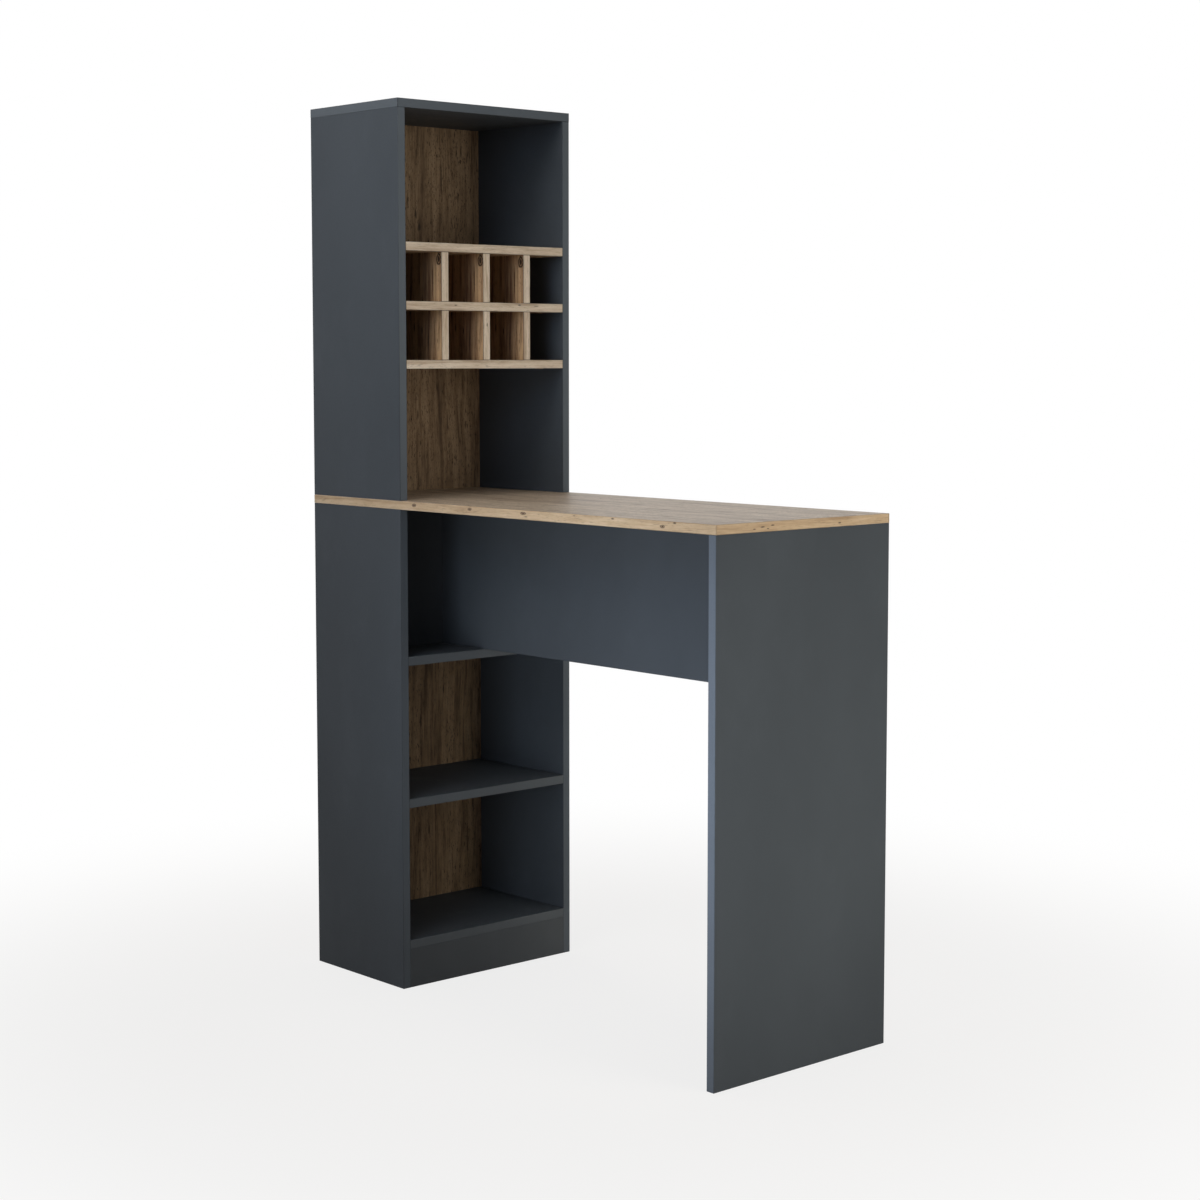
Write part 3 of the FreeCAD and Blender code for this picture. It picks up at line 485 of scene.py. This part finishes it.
def looseParts(name):  # corner points of every separate solid in a CAD node
    work = bmesh.new()
    work.from_mesh(cadNodes[name].data)
    bmesh.ops.remove_doubles(work, verts=work.verts, dist=mergeGap)
    left, parts = set(work.faces), []
    for seed in work.faces:  # in mesh order, so that every run gives the same rows
        if seed not in left:
            continue
        left.remove(seed)
        waiting, points = [seed], []
        while waiting:
            face = waiting.pop()
            points.extend(vert.co.copy() for vert in face.verts)
            for edge in face.edges:
                if len(edge.link_faces) == 2:  # solids that only touch stay apart
                    for other in edge.link_faces:
                        if other in left:
                            left.remove(other)
                            waiting.append(other)
        parts.append(points)
    work.free()
    return parts


def corners(points):
    return (Vector([min(p[axis] for p in points) for axis in range(3)]),
            Vector([max(p[axis] for p in points) for axis in range(3)]))


def unit(axis, sign=1.0):
    return Vector([sign if index == axis else 0.0 for index in range(3)])


# places are rows of point, turn, reach and lane; the tree puts one shape on each
def growPiece(pieceName, tree, places, values, material, node):
    seeds = bpy.data.meshes.new(pieceName + "Seeds")
    seeds.from_pydata([row["point"] for row in places], [], [])
    for label, kind, key in (("turn", "FLOAT_VECTOR", "vector"), ("reach", "FLOAT", "value"),
                             ("lane", "FLOAT", "value")):
        layer = seeds.attributes.new(label, kind, "POINT")
        for index, row in enumerate(places):
            setattr(layer.data[index], key, row[label])
    grower = bpy.data.objects.new(pieceName + "Grower", seeds)
    scene.collection.objects.link(grower)
    modifier = grower.modifiers.new("grow", "NODES")
    modifier.node_group = tree
    sockets = {item.name: item.identifier for item in tree.interface.items_tree
               if item.item_type == "SOCKET" and item.in_out == "INPUT"}
    for label, value in values.items():
        modifier[sockets[label]] = value
    modifier[sockets["Material"]] = material
    grown = grower.evaluated_get(bpy.context.evaluated_depsgraph_get())
    mesh = bpy.data.meshes.new_from_object(grown)
    grower.modifiers.remove(modifier)
    bpy.data.objects.remove(grower)
    bpy.data.meshes.remove(seeds)
    mesh.name = pieceName
    piece = bpy.data.objects.new(pieceName, mesh)
    scene.collection.objects.link(piece)
    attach(piece, "root")
    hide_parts(node)
    print(pieceName, "shapes:", len(places), "faces:", len(mesh.polygons))


def startTree(name, sizes):
    inputs = {"Geometry": ("NodeSocketGeometry", None)}
    for label, value in sizes.items():
        inputs[label] = ("NodeSocketInt" if isinstance(value, int) else "NodeSocketFloat", value)
    inputs["Material"] = ("NodeSocketMaterial", None)
    return newGroup(name, "GeometryNodeTree", inputs, {"Geometry": "NodeSocketGeometry"})


def namedValue(tree, label, kind):
    node = addNode(tree, "GeometryNodeInputNamedAttribute", {"Name": label}, data_type=kind)
    return node.outputs["Attribute"]


def storeVector(tree, shape, label, value):
    plugs = {"Geometry": shape, "Name": label, "Value": value}
    node = addNode(tree, "GeometryNodeStoreNamedAttribute", plugs, data_type="FLOAT_VECTOR", domain="POINT")
    return node.outputs[0]


def position(tree):
    return addNode(tree, "GeometryNodeInputPosition").outputs[0]


def facing(tree):
    return splitXyz(tree, addNode(tree, "GeometryNodeInputNormal").outputs[0])


def joinShapes(tree, *shapes):
    both = addNode(tree, "GeometryNodeJoinGeometry")
    for shape in shapes:
        tree.links.new(shape, both.inputs[0])
    return both.outputs[0]


# stands the shape on every seed, keeps its place along and across each one, and closes the tree
def placeOnSeeds(tree, given, result, shape, smooth):
    shape = addNode(tree, "GeometryNodeSetShadeSmooth", {
        "Geometry": shape, "Shade Smooth": smooth}).outputs[0]
    shape = storeVector(tree, shape, "spot", position(tree))
    turn = addNode(tree, "FunctionNodeEulerToRotation", {
        0: namedValue(tree, "turn", "FLOAT_VECTOR")}).outputs[0]
    reach = namedValue(tree, "reach", "FLOAT")
    placed = addNode(tree, "GeometryNodeInstanceOnPoints", {
        "Points": given["Geometry"], "Instance": shape, "Rotation": turn,
        "Scale": joinXyz(tree, 1.0, 1.0, reach)}).outputs[0]
    whole = addNode(tree, "GeometryNodeRealizeInstances", {0: placed}).outputs[0]
    x, y, z = splitXyz(tree, namedValue(tree, "spot", "FLOAT_VECTOR"))
    first = calc(tree, "MULTIPLY", z, reach)
    last = calc(tree, "MULTIPLY", calc(tree, "SUBTRACT", 1.0, z), reach)
    along = calc(tree, "ADD", first, namedValue(tree, "lane", "FLOAT"))
    whole = storeVector(tree, whole, "grain", joinXyz(tree, along, x, y))
    whole = storeVector(tree, whole, "ends", joinXyz(tree, first, last, x))
    for label in ("spot", "turn", "reach", "lane"):
        whole = addNode(tree, "GeometryNodeRemoveAttribute", {"Geometry": whole, "Name": label}).outputs[0]
    whole = addNode(tree, "GeometryNodeSetMaterial", {
        "Geometry": whole, "Material": given["Material"]}).outputs[0]
    tree.links.new(whole, result["Geometry"])


def closeBase(tree, base, grown):
    under = addNode(tree, "GeometryNodeFlipFaces", {0: base}).outputs[0]
    both = joinShapes(tree, under, grown)
    return addNode(tree, "GeometryNodeMergeByDistance", {0: both, "Distance": mergeGap}).outputs[0]


thinRounding, thickRounding = 0.00075, 0.0015
bandSizes = {"Width": 0.018, "Thickness": 0.001, "Rounding": thinRounding, "Round Steps": 5}
laneStep = 1.37  # metres of decor between one band and the next
curvedFrom = 0.02  # lean of the normal from which a face is shaded smooth


def makeBandTree():
    tree, given, result = startTree("edgeBand", bandSizes)
    outline = addNode(tree, "GeometryNodeCurvePrimitiveQuadrilateral", {
        "Width": given["Width"], "Height": given["Thickness"]}, mode="RECTANGLE").outputs[0]
    outer = calc(tree, "GREATER_THAN", splitXyz(tree, position(tree))[1], 0.0)
    outline = addNode(tree, "GeometryNodeFilletCurve", {
        "Curve": outline, "Count": given["Round Steps"],
        "Radius": calc(tree, "MULTIPLY", outer, given["Rounding"])}, mode="POLY").outputs[0]
    half = calc(tree, "MULTIPLY", given["Thickness"], 0.5)
    outline = addNode(tree, "GeometryNodeSetPosition", {
        "Geometry": outline, "Offset": joinXyz(tree, 0.0, half, 0.0)}).outputs[0]
    base = addNode(tree, "GeometryNodeFillCurve", {0: outline}, mode="NGONS").outputs[0]
    grown = addNode(tree, "GeometryNodeExtrudeMesh", {
        "Mesh": base, "Offset": (0.0, 0.0, 1.0), "Offset Scale": 1.0, "Individual": False},
        mode="FACES").outputs[0]
    strip = closeBase(tree, base, grown)
    nx, ny, _ = facing(tree)
    lean = calc(tree, "ABSOLUTE", calc(tree, "MULTIPLY", nx, ny))
    placeOnSeeds(tree, given, result, strip, calc(tree, "GREATER_THAN", lean, curvedFrom))
    return tree


def bandPlaces(name, owners):  # start, turn and length of each band, facing away from the boards it covers
    low, high = corners([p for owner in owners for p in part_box(owner)])
    middle, places = (low + high) / 2, []
    for part in looseParts(name):
        lo, hi = corners(part)
        size = hi - lo
        thick, wide, long = sorted(range(3), key=lambda axis: size[axis])
        sign = 1.0 if (lo + hi)[thick] / 2 > middle[thick] else -1.0
        outward, run = unit(thick, sign), unit(long)
        point = (lo + hi) / 2
        point[long] = lo[long]
        point[thick] = lo[thick] if sign > 0 else hi[thick]
        turn = Matrix((outward.cross(run), outward, run)).transposed().to_euler()
        places.append({"point": point, "turn": turn, "reach": size[long], "size": (size[wide], size[thick])})
    places.sort(key=lambda row: [round(value, 4) for value in (*row["turn"], *row["point"])])
    for index, row in enumerate(places):  # each band is cut from its own length of decor
        row["lane"] = laneStep * index
    return places


bandTree = makeBandTree()
bandSets = {
    "tabletopBands": {"node": "tabletop_edge_bands", "owners": ["tabletop"], "rounding": thickRounding,
                      "finish": "tableBandDecor", "slot": "wood_decor_band"},
    "rackBands": {"node": "rack_edge_bands", "owners": [*rackShelves, *dividers], "rounding": thinRounding,
                  "finish": "rackBandDecor", "slot": "wood_decor_band"},
    "towerBands": {"node": "tower_edge_bands", "owners": towerPanels, "rounding": thinRounding,
                   "finish": "anthraciteEdge", "slot": "anthracite_band"},
    "shelfBands": {"node": "shelf_edge_bands", "owners": plainShelves, "rounding": thinRounding,
                   "finish": "shelfEdge", "slot": "anthracite_band"},
    "legBands": {"node": "leg_edge_bands", "owners": ["leg_panel"], "rounding": thinRounding,
                 "finish": "legEdgeSheen", "slot": "anthracite_band"},
    "apronBand": {"node": "apron_edge_band", "owners": ["apron_panel"], "rounding": thinRounding,
                  "finish": "anthraciteEdge", "slot": "anthracite_band"},
}
for pieceName, band in bandSets.items():
    places = bandPlaces(band["node"], band["owners"])
    width, thickness = places[0]["size"]
    growPiece(pieceName, bandTree, places, {
        "Width": width, "Thickness": thickness, "Rounding": band["rounding"]},
        finishes[band["finish"]], band["node"])


def growSteps(tree, base, steps):  # rise and shrink of each step of a turned piece
    shape, top = base, None
    for rise, shrink in steps:
        plugs = {"Mesh": shape, "Offset": (0.0, 0.0, 1.0), "Offset Scale": rise, "Individual": False}
        if top is not None:
            plugs["Selection"] = top
        grown = addNode(tree, "GeometryNodeExtrudeMesh", plugs, mode="FACES")
        top = grown.outputs["Top"]
        shape = addNode(tree, "GeometryNodeScaleElements", {
            "Geometry": grown.outputs[0], "Selection": top, "Scale": shrink}, domain="FACE").outputs[0]
    return closeBase(tree, base, shape)


def axisPlaces(name, along=None):  # foot, turn and size of round pieces, with the wider end as the foot
    places = []
    for part in looseParts(name):
        lo, hi = corners(part)
        size, centre = hi - lo, (lo + hi) / 2
        axis = along if along is not None else min(range(3), key=lambda index: size[index])
        others = [index for index in range(3) if index != axis]
        girth = {}
        for end in (lo[axis], hi[axis]):
            rim = [p for p in part if abs(p[axis] - end) < endGap]
            girth[end] = max(sum((p[i] - centre[i]) ** 2 for i in others) for p in rim)
        sign = 1.0 if girth[hi[axis]] < girth[lo[axis]] else -1.0
        point = centre.copy()
        point[axis] = lo[axis] if sign > 0 else hi[axis]
        turn = unit(axis, sign).to_track_quat("Z", "Y").to_euler()
        places.append({"point": point, "turn": turn, "reach": 1.0, "lane": 0.0,
                       "size": (size[others[0]], size[axis])})
    return places


capSizes = {
    "Radius": 0.0085, "Thickness": 0.001, "Chamfer": 0.0004, "Dish": 0.00025, "Rim Share": 0.78,
    "Dish Share": 0.93, "Sides": 48,
}
capFlatFrom = 0.95  # upright share of the normal from which a face is shaded flat


def makeCapTree():
    tree, given, result = startTree("coverCap", capSizes)
    base = addNode(tree, "GeometryNodeMeshCircle", {
        "Vertices": given["Sides"], "Radius": given["Radius"]}, fill_type="NGON").outputs[0]
    narrowed = calc(tree, "SUBTRACT", 1.0, calc(tree, "DIVIDE", given["Chamfer"], given["Radius"]))
    shape = growSteps(tree, base, (
        (calc(tree, "SUBTRACT", given["Thickness"], given["Chamfer"]), 1.0),
        (given["Chamfer"], narrowed),
        (0.0, given["Rim Share"]),
        (calc(tree, "MULTIPLY", given["Dish"], -1.0), given["Dish Share"]),
    ))
    upright = calc(tree, "ABSOLUTE", facing(tree)[2])
    placeOnSeeds(tree, given, result, shape, calc(tree, "LESS_THAN", upright, capFlatFrom))
    return tree


capTree = makeCapTree()
capSets = {
    "towerCaps": {"node": "cam_caps", "finish": "anthraciteCap", "slot": "anthracite_cap"},
    "rackCaps": {"node": "rack_cam_caps", "finish": "woodCap", "slot": "wood_decor_cap"},
}
for pieceName, cap in capSets.items():
    places = axisPlaces(cap["node"])
    diameter, thickness = places[0]["size"]
    growPiece(pieceName, capTree, places, {"Radius": diameter / 2, "Thickness": thickness},
              finishes[cap["finish"]], cap["node"])

screwSizes = {
    "Head Radius": 0.005, "Head Height": 0.003, "Chamfer": 0.0005, "Shank Radius": 0.0035, "Wall": 0.018,
    "Core Radius": 0.0021, "Length": 0.05, "Tip": 0.002, "Tip Share": 0.35, "Thread": 0.0004,
    "Pitch": 0.0022, "Turn Steps": 16, "Ridge Sides": 4, "Socket Radius": 0.0023, "Socket Depth": 0.0024,
    "Socket Sides": 6, "Sides": 32,
}
screwFlatFrom = 0.5  # upright share of the normal from which a face is shaded flat


def makeScrewTree():  # stands on the face of its head and points along Z
    tree, given, result = startTree("connectorScrew", screwSizes)
    face = calc(tree, "SUBTRACT", given["Head Radius"], given["Chamfer"])
    base = addNode(tree, "GeometryNodeMeshCircle", {
        "Vertices": given["Sides"], "Radius": face}, fill_type="NGON").outputs[0]
    threaded = calc(tree, "SUBTRACT", calc(tree, "SUBTRACT", given["Length"], given["Wall"]), given["Tip"])
    core = calc(tree, "SUBTRACT", threaded, given["Chamfer"])
    shape = growSteps(tree, base, (
        (given["Chamfer"], calc(tree, "DIVIDE", given["Head Radius"], face)),
        (calc(tree, "SUBTRACT", given["Head Height"], given["Chamfer"]), 1.0),
        (0.0, calc(tree, "DIVIDE", given["Shank Radius"], given["Head Radius"])),
        (calc(tree, "SUBTRACT", given["Wall"], given["Head Height"]), 1.0),
        (given["Chamfer"], calc(tree, "DIVIDE", given["Core Radius"], given["Shank Radius"])),
        (core, 1.0),
        (given["Tip"], given["Tip Share"]),
    ))
    socket = addNode(tree, "GeometryNodeMeshCylinder", {
        "Vertices": given["Socket Sides"], "Radius": given["Socket Radius"],
        "Depth": calc(tree, "MULTIPLY", given["Socket Depth"], 2.0)}).outputs[0]
    shape = addNode(tree, "GeometryNodeMeshBoolean", {
        "Mesh 1": shape, "Mesh 2": socket}, operation="DIFFERENCE", solver="EXACT").outputs[0]
    helix = addNode(tree, "GeometryNodeCurveSpiral", {
        "Resolution": given["Turn Steps"], "Rotations": calc(tree, "DIVIDE", threaded, given["Pitch"]),
        "Start Radius": given["Core Radius"], "End Radius": given["Core Radius"], "Height": core}).outputs[0]
    ridge = addNode(tree, "GeometryNodeCurvePrimitiveCircle", {
        "Resolution": given["Ridge Sides"], "Radius": given["Thread"]}, mode="RADIUS").outputs[0]
    helix = addNode(tree, "GeometryNodeCurveToMesh", {
        "Curve": helix, "Profile Curve": ridge, "Fill Caps": True}).outputs[0]
    start = calc(tree, "ADD", given["Wall"], given["Chamfer"])
    helix = addNode(tree, "GeometryNodeTransform", {
        "Geometry": helix, "Translation": joinXyz(tree, 0.0, 0.0, start)}).outputs[0]
    x, y, z = splitXyz(tree, position(tree))
    away = vecCalc(tree, "LENGTH", joinXyz(tree, x, y, 0.0), out=1)
    outside = calc(tree, "MAXIMUM", calc(tree, "GREATER_THAN", away, given["Socket Radius"]),
                   calc(tree, "GREATER_THAN", z, given["Head Height"]))  # the socket's walls stay flat
    turned = calc(tree, "LESS_THAN", calc(tree, "ABSOLUTE", facing(tree)[2]), screwFlatFrom)
    placeOnSeeds(tree, given, result, joinShapes(tree, shape, helix),
                 calc(tree, "MULTIPLY", turned, outside))
    return tree


screwTree = makeScrewTree()
screwSets = {
    "backScrews": {"node": "back_screws", "wall": "upper_back_panel", "axis": 0},
    "topScrews": {"node": "top_screws", "wall": "top_panel", "axis": 2},
}
for pieceName, screw in screwSets.items():
    low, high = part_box(screw["wall"])
    places = axisPlaces(screw["node"], screw["axis"])
    diameter, length = places[0]["size"]
    growPiece(pieceName, screwTree, places, {
        "Wall": high[screw["axis"]] - low[screw["axis"]], "Head Radius": diameter / 2, "Length": length},
        finishes["zincPlate"], screw["node"])


def seenDirectly(tree):  # rays that show the white background
    ray = addNode(tree, "ShaderNodeLightPath").outputs
    seen = calc(tree, "MAXIMUM", ray["Is Camera Ray"], ray["Is Glossy Ray"])
    return calc(tree, "MAXIMUM", seen, ray["Is Transmission Ray"])


whiteLook = {"Color": (1, 1, 1, 1), "Strength": 1.0}
floorLook = {"size": 40.0, "color": (0.64, 0.58, 0.52), "nearGlow": 0.8, "fadeStart": 0.7, "fadeEnd": 2.2}


def makeFloor():
    mesh = bpy.data.meshes.new("studioFloor")
    half = floorLook["size"] / 2
    outline = [(-half, -half, 0), (half, -half, 0), (half, half, 0), (-half, half, 0)]
    mesh.from_pydata(outline, [], [(0, 1, 2, 3)])
    floor = bpy.data.objects.new("studioFloor", mesh)
    scene.collection.objects.link(floor)
    material = bpy.data.materials.new("studioFloor")
    material.use_nodes = True
    tree = material.node_tree
    tree.nodes.remove(tree.nodes["Principled BSDF"])
    paper = addNode(tree, "ShaderNodeBsdfDiffuse", {"Color": paint(floorLook["color"])}).outputs[0]
    glow = addNode(tree, "ShaderNodeEmission", whiteLook).outputs[0]
    place = addNode(tree, "ShaderNodeTexCoord").outputs["Object"]
    away = vecCalc(tree, "LENGTH", place, out=1)
    fade = ease(tree, away, floorLook["fadeStart"], floorLook["fadeEnd"], floorLook["nearGlow"], 1.0)
    share = calc(tree, "MULTIPLY", fade, seenDirectly(tree))
    mixed = addNode(tree, "ShaderNodeMixShader", {0: share, 1: paper, 2: glow})
    tree.links.new(mixed.outputs[0], tree.nodes["Material Output"].inputs["Surface"])
    mesh.materials.append(material)


worldLook = {"soft": (0.92, 0.98, 1.04), "level": 0.2}


def makeWorld():
    world = bpy.data.worlds.new("studio")
    world.use_nodes = True
    tree = world.node_tree
    dome = tree.nodes["Background"]
    dome.inputs["Color"].default_value = paint(worldLook["soft"])
    dome.inputs["Strength"].default_value = worldLook["level"]
    white = addNode(tree, "ShaderNodeBackground", whiteLook).outputs[0]
    mixed = addNode(tree, "ShaderNodeMixShader", {0: seenDirectly(tree), 1: dome.outputs[0], 2: white})
    tree.links.new(mixed.outputs[0], tree.nodes["World Output"].inputs["Surface"])
    scene.world = world


softBoxes = {  # size in metres, spread in degrees
    "leftBox": {"place": (-0.1, -1.7, 2.5), "aim": (-0.45, -0.2, 1.75), "size": (1.4, 1.0), "spread": 75.0,
                "radiance": 0.88, "tint": (0.98, 1.0, 1.02)},
    "sideBox": {"place": (0.75, -1.95, 1.9), "aim": (-0.4, 0.2, 1.5), "size": (0.7, 0.7), "spread": 80.0,
                "radiance": 0.82, "tint": (0.78, 0.97, 1.26)},
    "benchBox": {"place": (0.6, -1.25, 0.5), "aim": (0.4, 0.0, 0.6), "size": (1.0, 0.8), "spread": 76.0,
                 "radiance": 1.3, "tint": (0.86, 0.96, 1.1)},
    "frontBox": {"place": (2.7, 0.6, 1.4), "aim": (0.0, 0.0, 1.0), "size": (1.6, 1.8), "spread": 180.0,
                 "radiance": 2.7, "tint": (1.01, 1.0, 0.94)},
    "legBox": {"place": (2.3, 0.2, 0.6), "aim": (0.6, 0.0, 0.45), "size": (0.8, 0.6), "spread": 60.0,
               "radiance": 0.8, "tint": (1.04, 1.03, 0.9)},
    "rearBox": {"place": (-2.4, 0.3, 0.9), "aim": (-0.6, 0.0, 0.9), "size": (1.6, 1.4), "spread": 180.0,
                "radiance": 2.4, "tint": (1.0, 1.0, 1.0)},
    "rightBox": {"place": (-0.3, 2.3, 0.55), "aim": (-0.3, 0.2, 0.9), "size": (1.6, 0.8), "spread": 180.0,
                 "radiance": 3.0, "tint": (1.0, 1.0, 1.0)},
    "topBox": {"place": (-0.2, -0.8, 3.4), "aim": (0.0, 0.0, 1.0), "size": (2.4, 2.0), "spread": 180.0,
               "radiance": 1.35, "tint": (1.0, 1.0, 1.0)},
}


def makeSoftBoxes():
    for name, box in softBoxes.items():
        lamp = bpy.data.lights.new(name, "AREA")
        lamp.shape = "RECTANGLE"
        lamp.size, lamp.size_y = box["size"]
        lamp.color = box["tint"]
        lamp.spread = radians(box["spread"])
        lamp.energy = box["radiance"] * pi * lamp.size * lamp.size_y
        holder = bpy.data.objects.new(name, lamp)
        holder.location = box["place"]
        away = Vector(box["aim"]) - Vector(box["place"])
        holder.rotation_euler = away.to_track_quat("-Z", "Y").to_euler()
        holder.visible_camera = False
        scene.collection.objects.link(holder)


cameraLook = {
    "place": (3.396, -2.996, 1.285), "down": 4.82, "turn": 48.16, "lens": 68.86, "sensor": 36.0,
    "shiftY": -0.04,
}


def makeCamera():
    lens = bpy.data.cameras.new("photoView")
    lens.lens = cameraLook["lens"]
    lens.sensor_width = cameraLook["sensor"]
    lens.shift_y = cameraLook["shiftY"]
    camera = bpy.data.objects.new("photoView", lens)
    camera.location = cameraLook["place"]
    camera.rotation_euler = (radians(90.0 - cameraLook["down"]), 0.0, radians(cameraLook["turn"]))
    scene.collection.objects.link(camera)
    scene.camera = camera


makeFloor()
makeWorld()
makeSoftBoxes()
makeCamera()
scene.view_settings.view_transform = "Standard"
print("studio ready")
